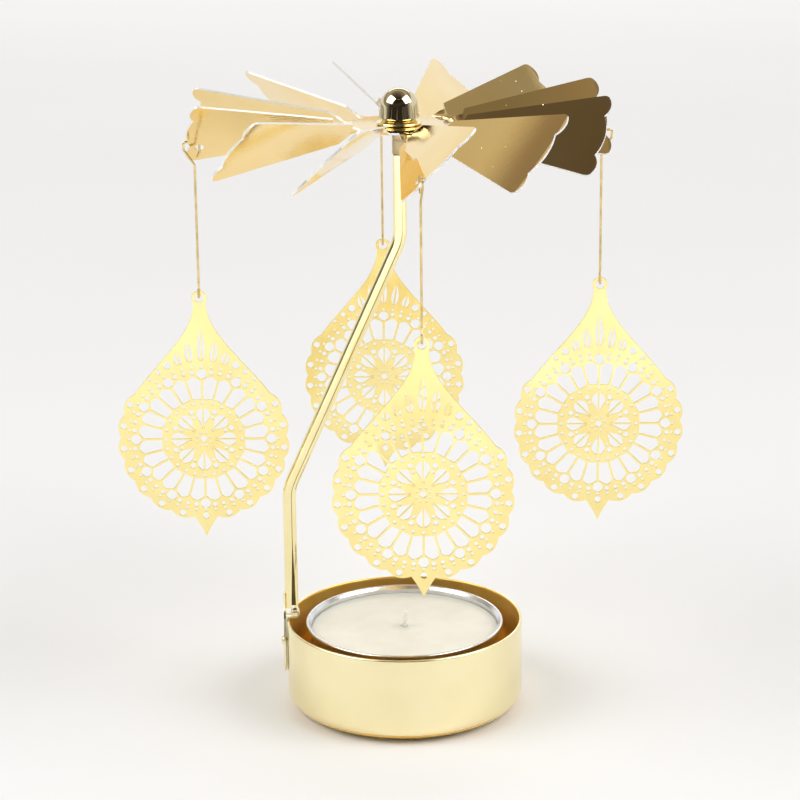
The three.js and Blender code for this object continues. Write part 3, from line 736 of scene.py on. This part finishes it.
def makeTin(t):
    body = t["radius"] - t["flare"]
    w, b = t["wall"], t["bead"]
    low, dome = t["bottom"], t["bottom"] + t["dome"]
    inside = body - w - t["ribDepth"]
    profile = [(0, dome), (body * t["domeReach"], dome), (body * t["domeFoot"], low)]
    profile += arcPoints((body - t["foot"], low + t["foot"]), t["foot"], -90, 0, 6)
    span = t["rim"] - 2 * b - low - 2 * t["foot"]
    for i in range(t["ribs"] * 8 + 1):
        share = i / (t["ribs"] * 8)
        dent = t["ribDepth"] * (0.5 - 0.5 * math.cos(2 * math.pi * t["ribs"] * share))
        profile.append((body - dent, low + t["foot"] * 1.5 + span * share))
    profile += arcPoints((t["radius"] - b, t["rim"] - b), b, -90, 150, 12)
    profile += [(inside, t["rim"] - 2 * b), (inside, low + t["foot"]), (body - t["foot"], low + t["floor"]),
                (0, dome + w)]
    return lathe("tin_cup", profile, 128)


dress(makeTin(tealight), [tinAluminium], "tealight", "tealight_cup")

wax = {"radius": waxHigh.x, "bottom": waxLow.z, "top": waxHigh.z, "dish": 0.3 * mm, "bore": 0.75 * mm,
       "recess": 6.6 * mm, "recessTop": waxLow.z + 0.5 * mm, "ripple": 0.06 * mm, "rippleScale": 220,
       "still": 0.3 * mm, "edge": 0.05 * mm, "skin": 0.1 * mm, "creep": 1.6 * mm, "sag": 0.02 * mm,
       "mound": ((1.2 * mm, 0), (0.5 * mm, 0.12 * mm), (0, 0.35 * mm))}


def makeWax(w):
    # the wax creeps up at the tin and at the wick
    crest = w["top"] - w["dish"]
    profile = [(w["bore"], w["recessTop"]), (w["recess"], w["recessTop"]), (w["recess"], w["bottom"]),
               (w["radius"], w["bottom"]), (w["radius"], w["top"] - w["edge"])]
    for i in range(9):
        share = i / 8
        profile.append((w["radius"] - w["skin"] - w["creep"] * share, crest + w["dish"] * (1 - share) ** 2))
    profile += [(w["radius"] * (0.88 - 0.08 * i), crest - w["sag"] * math.sin(i)) for i in range(10)]
    profile += [(w["bore"] + out, crest + rise) for out, rise in w["mound"]]
    piece = lathe("wax_fill", profile, 128, closed=True)
    for point in piece.data.vertices:
        reach = math.hypot(point.co.x, point.co.y)
        if point.co.z > crest - w["skin"] and reach < w["radius"] - w["still"]:
            point.co.z += w["ripple"] * noise.noise(point.co * w["rippleScale"])
    return faceOut(piece, 60)


dress(makeWax(wax), [candleWax], "tealight", "tealight_wax")

wick = {"radius": wickHigh.x, "bottom": wickLow.z, "top": wickHigh.z, "lean": 0.35 * mm, "aside": -0.3,
        "bendFrom": 0.75, "strands": 3, "core": 0.80, "bulge": 0.16, "sides": 24, "turns": 4.5, "rings": 60,
        "tip": 0.7}


def makeWick(w):
    section = []
    for i in range(w["sides"]):
        turn = 2 * math.pi * i / w["sides"]
        radius = w["radius"] * (w["core"] + w["bulge"] * abs(math.cos(w["strands"] * turn / 2)))
        section.append((radius * math.cos(turn), radius * math.sin(turn)))
    path = []
    for i in range(w["rings"] + 1):
        share = i / w["rings"]
        bent = max(0.0, share - w["bendFrom"]) / (1 - w["bendFrom"])
        height = w["bottom"] + (w["top"] - w["bottom"]) * share
        path.append(Vector((w["lean"] * bent ** 2, w["aside"] * w["lean"] * bent, height)))
    twist = 2 * math.pi * w["turns"] / w["rings"]
    return sweep("wick", path, section, Vector((1, 0, 0)), twist, (1.0, w["tip"]))


dress(makeWick(wick), [wickCotton], "tealight", "tealight_wick")
coat("wick_sustainer", greySteel)
print("tealight made")


# hub

ballLow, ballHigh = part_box("hub_ball")
collarLow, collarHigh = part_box("hub_collar")
washerLow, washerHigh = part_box("hub_washer")
hub = {"ball": ballHigh.x, "ballTop": ballHigh.z, "bottom": ballLow.z, "shank": 1.8 * mm, "lip": 2.5 * mm,
       "lipHeight": 0.4 * mm, "socket": 0.8 * mm, "hole": 1.95 * mm, "seat": collarHigh.z + 0.1 * mm,
       "collar": collarHigh.x, "collarBottom": collarLow.z, "collarTop": collarHigh.z, "sheet": 0.5 * mm,
       "washer": washerHigh.x, "edge": 0.2 * mm, "taper": 6, "socketTip": 0.1 * mm, "socketDeep": 1.5 * mm,
       "lipEdge": 0.1 * mm, "shoulder": 0.7 * mm}


def makeBall(h):
    # a round top on a skirt that narrows slightly upwards
    lean = math.radians(h["taper"])
    narrowed = h["ball"] - math.tan(lean) * (h["ballTop"] - h["seat"])
    top = narrowed / (math.cos(lean) - math.tan(lean) * (1 - math.sin(lean)))
    centre = h["ballTop"] - top
    skirt = [(h["ball"] - h["edge"], h["seat"]), (h["ball"], h["seat"] + h["edge"])]
    dome = skirt + arcPoints((0, centre), top, h["taper"], 90, 40)[:-1]
    profile = [(0, centre + h["socketTip"]), (h["socket"], centre - h["socketDeep"]),
               (h["socket"], h["bottom"]), (h["lip"] - h["lipEdge"], h["bottom"]),
               (h["lip"], h["bottom"] + h["lipEdge"]), (h["lip"], h["bottom"] + h["lipHeight"]),
               (h["shank"], h["bottom"] + h["lipHeight"]), (h["shank"], h["seat"])]
    return lathe("ball", profile + dome + [(0, h["ballTop"])], 96)


def makeCollar(h):
    low, high, t = h["collarBottom"], h["collarTop"], h["sheet"]
    shoulder, edge = h["hole"] + h["shoulder"], h["collar"]
    dish = high - low - t
    curve = [(shoulder + (edge - dish - shoulder) * s, high - dish * (3 * s * s - 2 * s ** 3))
             for s in (0.2, 0.4, 0.6, 0.8, 1.0)]
    profile = [(h["hole"], high - t), (shoulder, high - t)] + [(radius, z - t) for radius, z in curve]
    profile += arcPoints((edge - t / 2, low + t / 2), t / 2, -90, 90, 10)
    profile += curve[::-1] + [(shoulder, high), (h["hole"], high)]
    return lathe("collar", profile, 96, closed=True)


def makeWasher(h):
    low, high, c = washerLow.z, washerHigh.z, h["lipEdge"]
    profile = [(h["hole"], low), (h["washer"] - c, low), (h["washer"], low + c), (h["washer"], high - c),
               (h["washer"] - c, high), (h["hole"], high)]
    return lathe("under_washer", profile, 64, closed=True)


dress(makeBall(hub), [ballGold], "fan", "hub_ball")
dress(makeCollar(hub), [stemGold], "fan", "hub_collar")
dress(makeWasher(hub), [greySteel], "fan", "hub_washer")


# fan

hingeAxis = joints["hanger_1_swing"]["axis"]
firstBlade = math.degrees(math.atan2(hingeAxis[0], -hingeAxis[1]))
fan = {"height": joints["fan_spin"]["pos_m"][2], "sheet": 0.4 * mm, "blades": 12, "start": firstBlade,
       "twist": 43, "hole": hub["hole"], "disc": 9.3 * mm, "neck": 3 * mm, "neckHalf": 1.7 * mm,
       "halfAngle": 13.3, "cornerX": 38 * mm, "cornerRadius": 0.7 * mm, "valleyHalf": 4.4 * mm,
       "valleyX": 38.5 * mm, "middleRise": 1.05 * mm, "sideRise": 0.8 * mm, "hookX": 36.9 * mm,
       "hookRadius": 0.9 * mm, "rows": 8, "gaps": 6, "rings": (0.85, 0.6, 0.3, 0.0), "ease": 0.5 * mm,
       "lap": 0.1 * mm}


def quadratic(start, pull, end, steps):
    points = []
    for i in range(steps):
        t = i / steps
        u, v, w = (1 - t) ** 2, 2 * t * (1 - t), t * t
        points.append(tuple(u * a + v * b + w * c for a, b, c in zip(start, pull, end)))
    return points


def bladeEdge(f):
    # the scalloped outer edge, from the low corner to the high one
    slope = math.tan(math.radians(f["halfAngle"]))
    corner, back = f["cornerX"] * slope, f["cornerX"] - f["cornerRadius"]
    tip = corner - f["cornerRadius"] / 2
    side = (tip + f["valleyHalf"]) / 2
    v, x = f["valleyHalf"], f["valleyX"]
    edge = quadratic((back, -back * slope), (f["cornerX"], -corner), (x, -tip), 4)
    edge += quadratic((x, -tip), (x + 2 * f["sideRise"], -side), (x, -v), 8)
    edge += quadratic((x, -v), (x + 2 * f["middleRise"], 0), (x, v), 12)
    edge += quadratic((x, v), (x + 2 * f["sideRise"], side), (x, tip), 8)
    edge += quadratic((x, tip), (f["cornerX"], corner), (back, back * slope), 4)
    return edge + [(back, back * slope)]


def turned(x, y, angle, f):
    # a point of a flat blade, twisted about the blade's own length and turned to its place
    share = min(max((x - f["disc"]) / f["neck"], 0), 1)
    lift = math.radians(f["twist"]) * (3 * share ** 2 - 2 * share ** 3)
    flat = y * math.cos(lift)
    return Vector((x * math.cos(angle) - flat * math.sin(angle),
                   x * math.sin(angle) + flat * math.cos(angle),
                   f["height"] + y * math.sin(lift)))


def bladeRows(f):
    edge = bladeEdge(f)
    last = len(edge) - 1
    across = [2 * j / last - 1 for j in range(last + 1)]
    rootX = f["disc"] + f["neck"]
    root = rootX * math.tan(math.radians(f["halfAngle"]))
    first = [(math.sqrt(f["disc"] ** 2 - (s * f["neckHalf"]) ** 2), s * f["neckHalf"]) for s in across]
    rows = [first]
    for i in range(1, f["rows"] + 1):
        rows.append([(x + (rootX - x) * i / f["rows"], y) for x, y in first])
    shoulder = [(rootX + f["ease"] * abs(s) ** 3, s * (root + f["lap"])) for s in across]
    for i in range(f["rows"] + 1):
        share = i / f["rows"]
        rows.append([(a + (c - a) * share, b + (d - b) * share) for (a, b), (c, d) in zip(shoulder, edge)])
    return rows


def makeFan(f):
    points, faces = [], []
    rows = bladeRows(f)
    count = len(rows[0])
    step = 2 * math.pi / f["blades"]
    reach = math.asin(f["neckHalf"] / f["disc"])
    outer = []
    for k in range(f["blades"]):
        angle = math.radians(f["start"]) + k * step
        grid = []
        for row in rows:
            grid.append(list(range(len(points), len(points) + count)))
            points += [turned(x, y, angle, f) for x, y in row]
        for low, high in zip(grid, grid[1:]):
            faces += [(low[j], low[j + 1], high[j + 1], high[j]) for j in range(count - 1)]
        outer += grid[0]
        for i in range(1, f["gaps"]):
            turn = angle + reach + (step - 2 * reach) * i / f["gaps"]
            outer.append(len(points))
            points.append(Vector((f["disc"] * math.cos(turn), f["disc"] * math.sin(turn), f["height"])))
    ring = outer
    total = len(outer)
    for share in f["rings"]:
        radius = f["hole"] + (f["disc"] - f["hole"]) * share
        inner = list(range(len(points), len(points) + total))
        for index in outer:
            turn = math.atan2(points[index].y, points[index].x)
            points.append(Vector((radius * math.cos(turn), radius * math.sin(turn), f["height"])))
        faces += [(ring[j], ring[(j + 1) % total], inner[(j + 1) % total], inner[j]) for j in range(total)]
        ring = inner
    wheel = faceOut(addMesh("fan", points, faces), 80)
    wheel.data.materials.append(fanGold)
    wheel.data.materials.append(cutEdge)
    skin = wheel.modifiers.new("sheet", "SOLIDIFY")
    skin.thickness = f["sheet"]
    skin.offset = 0
    skin.use_even_offset = True
    skin.material_offset_rim = 1
    applyAll(wheel)
    for k in range(0, f["blades"], 3):
        angle = math.radians(f["start"]) + k * step
        drill = lathe("drill", [(0, -mm), (f["hookRadius"], -mm), (f["hookRadius"], mm), (0, mm)], 32)
        drill.data.materials.append(fanGold)
        drill.data.materials.append(cutEdge)
        for face in drill.data.polygons:
            face.material_index = 1
        place = turned(f["hookX"], -f["valleyHalf"], angle, f)
        lean = Matrix.Rotation(angle, 4, "Z") @ Matrix.Rotation(math.radians(f["twist"]), 4, "X")
        drill.data.transform(Matrix.Translation(place) @ lean)
        boolean(wheel, drill, "DIFFERENCE")
    return smooth(wheel, 40)


dress(makeFan(fan), [], "fan", "fan_wheel")
print("hub and fan made")


# hanger wires

wire = {"radius": 0.22 * mm, "bend": 0.5 * mm, "rise": 0.95 * mm, "loop": 2.95 * mm, "loopDrop": 3.4 * mm,
        "tail": 2 * mm, "offset": 1 * mm, "hookHalf": 0.9 * mm, "hookRise": 2 * mm,
        "hookSeat": 0.3 * mm, "tip": 0.75}


def makeHanger(number, w):
    swing = joints[f"hanger_{number}_swing"]
    axis = Vector(swing["axis"])
    out = Vector((-axis.y, axis.x, 0))
    hole = Vector(swing["pos_m"]) - out * w["offset"] - Vector((0, 0, w["rise"]))
    ring = Vector(joints[f"pendant_{number}_twist"]["pos_m"])
    across = Vector((0, 1 if math.atan2(out.y, out.x) >= 0 else -1, 0))

    def inLoop(x, z):
        return hole + out * x + Vector((0, 0, z))

    def inHook(side, z):
        return ring + across * side + Vector((0, 0, z))

    corners = [inLoop(w["offset"] / 2, -w["tail"]), inLoop(0, -w["rise"]), inLoop(0, w["rise"]),
               inLoop(w["loop"], w["rise"]), inLoop(w["loop"], -w["bend"]),
               inLoop(w["offset"], -w["loopDrop"]),
               inHook(0, w["hookRise"] + w["hookHalf"]), inHook(w["hookHalf"], w["hookRise"]),
               inHook(w["hookHalf"], w["hookSeat"]), inHook(-w["hookHalf"], w["hookSeat"]),
               inHook(-w["hookHalf"], w["hookRise"])]
    path = roundedPath(corners, w["bend"], 6)
    piece = sweep(f"wire_{number}", path, circle(w["radius"], 14), axis, 0.0, (w["tip"], w["tip"]))
    dress(piece, [wireGold], f"hanger_{number}", f"hanger_wire_{number}")


# openwork drops

drop = {"radius": 15.7 * mm, "centre": 27.7 * mm, "sheet": 0.3 * mm, "bevel": 0.04 * mm, "ring": 1.45 * mm,
        "ringHole": 0.85 * mm, "ogee": 35, "neckPull": 7 * mm, "scallops": 15, "scallopRise": 0.85 * mm,
        "finial": 4.1 * mm, "eyelet": 0.6 * mm, "band": 1.15 * mm, "pins": 48, "pin": 0.26 * mm,
        "lancets": 12, "lancetInner": 7.9 * mm, "bar": 0.45 * mm, "eye": 0.95 * mm, "petals": 8,
        "petalInner": 1.9 * mm, "petalOuter": 6.5 * mm, "petalHalf": 1.3 * mm, "rib": 0.32 * mm,
        "leaves": (7, 4.8, 2.9, 1.7, 1.1, 0.8), "leafStep": 8, "leafHalf": 0.75 * mm, "leastLeaf": 2,
        "leafBelly": 0.4, "petalBelly": 0.66, "leafEnd": 0.07, "leafTip": 0.7, "bud": 0.42, "pinch": 0.7,
        "springAt": 0.55, "eyeRise": 1.85 * mm, "archStart": 0.3 * mm, "archEnd": 0.35 * mm,
        "arch": ((0.6, 0.45), (0.95, 0.95), (1.25, 1.7), (1.0, 2.35)), "shoulderIn": 0.5 * mm,
        "shoulderAside": 1.8 * mm, "shoulderHole": 0.42 * mm, "barIn": 0.35 * mm, "barHole": 0.36 * mm,
        "footIn": 0.65 * mm, "footHole": 0.3 * mm, "flankSteps": 28,
        "rosette": ((5.75, 0.5), (4.55, 0.3), (1.35, 0.2))}  # leaves, arch and rosette in mm


def onRay(distance, degrees, d, aside=0.0):
    turn = math.radians(degrees)
    return (distance * math.cos(turn) - aside * math.sin(turn),
            distance * math.sin(turn) + aside * math.cos(turn) - d["centre"])


def dropOutline(d):
    neck = math.sqrt(d["ring"] ** 2 - d["ringHole"] ** 2)
    lean = math.radians(d["ogee"])
    end = onRay(d["radius"], d["ogee"], d)
    pull = (end[0] - d["radius"] / 2 * math.sin(lean), end[1] + d["radius"] / 2 * math.cos(lean))
    start, first = (neck, -d["ringHole"]), (neck, -d["neckPull"])
    flank = []
    for i in range(d["flankSteps"]):
        t = i / d["flankSteps"]
        u, v, w, s = (1 - t) ** 3, 3 * t * (1 - t) ** 2, 3 * t * t * (1 - t), t ** 3
        flank.append(tuple(u * a + v * b + w * c + s * e for a, b, c, e in zip(start, first, pull, end)))
    loop = list(flank)
    step = (180 + 2 * d["ogee"]) / d["scallops"]
    for i in range(d["scallops"]):
        turn = d["ogee"] - i * step
        isFinial = i == d["scallops"] // 2
        rise = d["finial"] if isFinial else 2 * d["scallopRise"]
        tip = onRay(d["radius"] * math.cos(math.radians(step / 2)) + rise, turn - step / 2, d)
        here, there = onRay(d["radius"], turn, d), onRay(d["radius"], turn - step, d)
        if isFinial:
            waist = [tuple(a + (b - a) * 0.5 for a, b in zip(side, tip)) for side in (here, there)]
            pinch = [(x * d["pinch"], y) for x, y in waist]
            loop += quadratic(here, pinch[0], tip, 8) + quadratic(tip, pinch[1], there, 8)
        else:
            loop += quadratic(here, tip, there, 10)
    loop += [onRay(d["radius"], 180 - d["ogee"], d)] + [(-x, y) for x, y in reversed(flank)]
    ringStart = math.degrees(math.atan2(-d["ringHole"], -neck)) + 360
    ringEnd = math.degrees(math.atan2(-d["ringHole"], neck))
    return loop + arcPoints((0, 0), d["ring"], ringStart, ringEnd, 24)[1:-1]


def roundHole(x, y, radius, sides=20):
    return arcPoints((x, y), radius, 0, 360, sides)[:-1]


def leafHalves(inner, outer, degrees, half, d, belly=0.5, steps=10):
    # a pointed leaf along a ray, split by its midrib and widest at belly
    loops = []
    power = math.log(0.5) / math.log(belly)
    for side in (-1, 1):
        edge, spine = [], []
        for i in range(steps + 1):
            share = d["leafEnd"] + (1 - 2 * d["leafEnd"]) * i / steps
            distance = inner + (outer - inner) * share
            reach = max(half * math.sin(math.pi * share ** power), d["rib"] * d["leafTip"])
            edge.append(onRay(distance, degrees, d, side * reach))
            spine.append(onRay(distance, degrees, d, side * d["rib"] / 2))
        loops.append(edge + spine[::-1])
    return loops


def lancet(middle, outer, d):
    # two pointed lights under a round eye, with small rounds at its shoulders
    inner, bar = d["lancetInner"], d["bar"] / 2
    spring = inner + (outer - inner) * d["springAt"]
    slope = math.tan(math.pi / d["lancets"])
    loops = [roundHole(*onRay(spring + d["eyeRise"], middle, d), d["eye"], 24)]
    for side in (-1, 1):
        light = [(inner, bar), (spring + d["archStart"], bar)]
        light += [(spring + rise * mm, aside * mm) for rise, aside in d["arch"]]
        for distance in (spring + d["archEnd"], (inner + spring) / 2, inner):
            light.append((distance, distance * slope - bar))
        loops.append([onRay(distance, middle, d, side * aside) for distance, aside in light])
        shoulder = onRay(outer - d["shoulderIn"], middle, d, side * d["shoulderAside"])
        loops.append(roundHole(*shoulder, d["shoulderHole"], 14))
    return loops


def dropOpenings(d):
    loops = [roundHole(0, 0, d["ringHole"], 28)]
    step = (180 + 2 * d["ogee"]) / d["scallops"]
    for i in range(d["scallops"]):
        middle = d["ogee"] - (i + 0.5) * step
        loops.append(roundHole(*onRay(d["radius"] - d["eyelet"] / 2, middle, d), d["eyelet"]))
    lancetOuter = d["radius"] - 1.5 * d["eyelet"] - d["band"]
    for i in range(d["pins"]):
        place = onRay(lancetOuter + d["band"] / 2, 90 + 360 * i / d["pins"], d)
        loops.append(roundHole(*place, d["pin"], 10))
    half = 180 / d["lancets"]
    for i in range(d["lancets"]):
        middle = 90 + 2 * half * i
        loops += lancet(middle, lancetOuter, d)
        loops.append(roundHole(*onRay(lancetOuter - d["barIn"], middle + half, d), d["barHole"], 12))
        for turn in (middle, middle + half):
            loops.append(roundHole(*onRay(d["lancetInner"] - d["footIn"], turn, d), d["footHole"], 12))
    for i in range(d["petals"]):
        middle = 360 * i / d["petals"]
        loops += leafHalves(d["petalInner"], d["petalOuter"], middle, d["petalHalf"], d, d["petalBelly"])
        between = middle + 180 / d["petals"]
        for distance, radius in d["rosette"]:
            loops.append(roundHole(*onRay(distance * mm, between, d), radius * mm, 12))
    loops.append(roundHole(0, -d["centre"], d["eyelet"]))
    foot = d["radius"] - d["eyelet"]
    for i, length in enumerate(d["leaves"]):
        for side in (-1, 1) if i else (1,):
            turn = 90 + side * i * d["leafStep"]
            if length > d["leastLeaf"]:
                loops += leafHalves(foot, foot + length * mm, turn, d["leafHalf"], d, d["leafBelly"])
            else:
                loops.append(roundHole(*onRay(foot + length * mm / 2, turn, d), length * mm * d["bud"], 14))
    return loops


def makeDrop(number, loops, d):
    sheet = plateFromLoops(f"drop_{number}", loops, d["sheet"], d["bevel"])
    ring = Vector(joints[f"pendant_{number}_twist"]["pos_m"])
    sheet.data.transform(Matrix.Translation(ring) @ Matrix.Rotation(math.pi / 2, 4, "X"))
    dress(sheet, [openworkGold], f"pendant_{number}", f"pendant_{number}")


dropLoops = [dropOutline(drop)] + dropOpenings(drop)
for number in range(1, 5):
    makeHanger(number, wire)
    makeDrop(number, dropLoops, drop)
print("hangers and drops made:", len(dropLoops) - 1, "openings in each")

bpy.context.view_layer.update()
